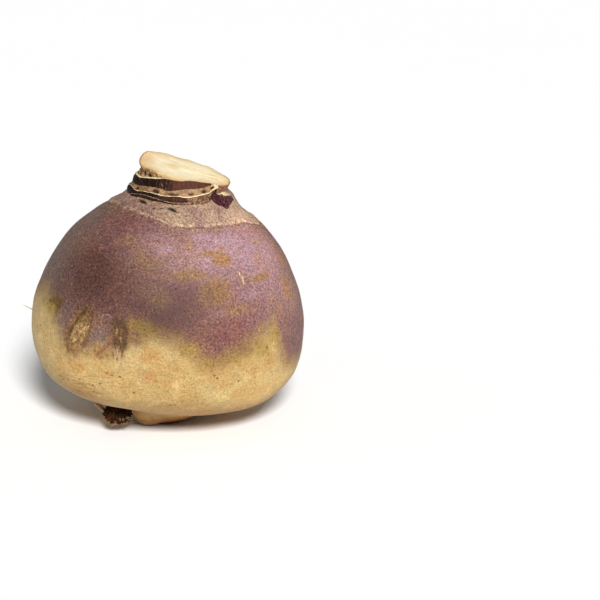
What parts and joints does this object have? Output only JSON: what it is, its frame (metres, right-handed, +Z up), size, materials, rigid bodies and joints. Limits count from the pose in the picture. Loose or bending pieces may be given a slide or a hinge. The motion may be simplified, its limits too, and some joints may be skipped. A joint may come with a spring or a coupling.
{
  "type": "rutabaga",
  "caption": "Whole rutabaga with purple shoulders and a golden base, cut flat across the crown, trimmed leaf bases round the neck, standing on its trimmed taproot.",
  "frame": {"origin": "middle of the whole vegetable seen from above, on the surface it rests on", "axes": "+Z up out of the crown; -Y the front, where the broad cut leaf base and the corky eyes are; +X the side that the crown falls away to"},
  "size_m": [0.1248, 0.1198, 0.123],
  "materials": {
    "root_skin": "matte corky skin, purple above and golden yellow below, waxy and finely speckled",
    "leaf_base": "purple-black petiole skin, with a cream and tan cut face"
  },
  "bodies": {
    "root": {"root_body": "root_skin", "leaf_base_left": "leaf_base", "leaf_base_right": "leaf_base", "leaf_base_front": "leaf_base", "leaf_base_front_low": "leaf_base", "leaf_base_back": "leaf_base", "leaf_base_back_low": "leaf_base"}
  },
  "joints": []
}
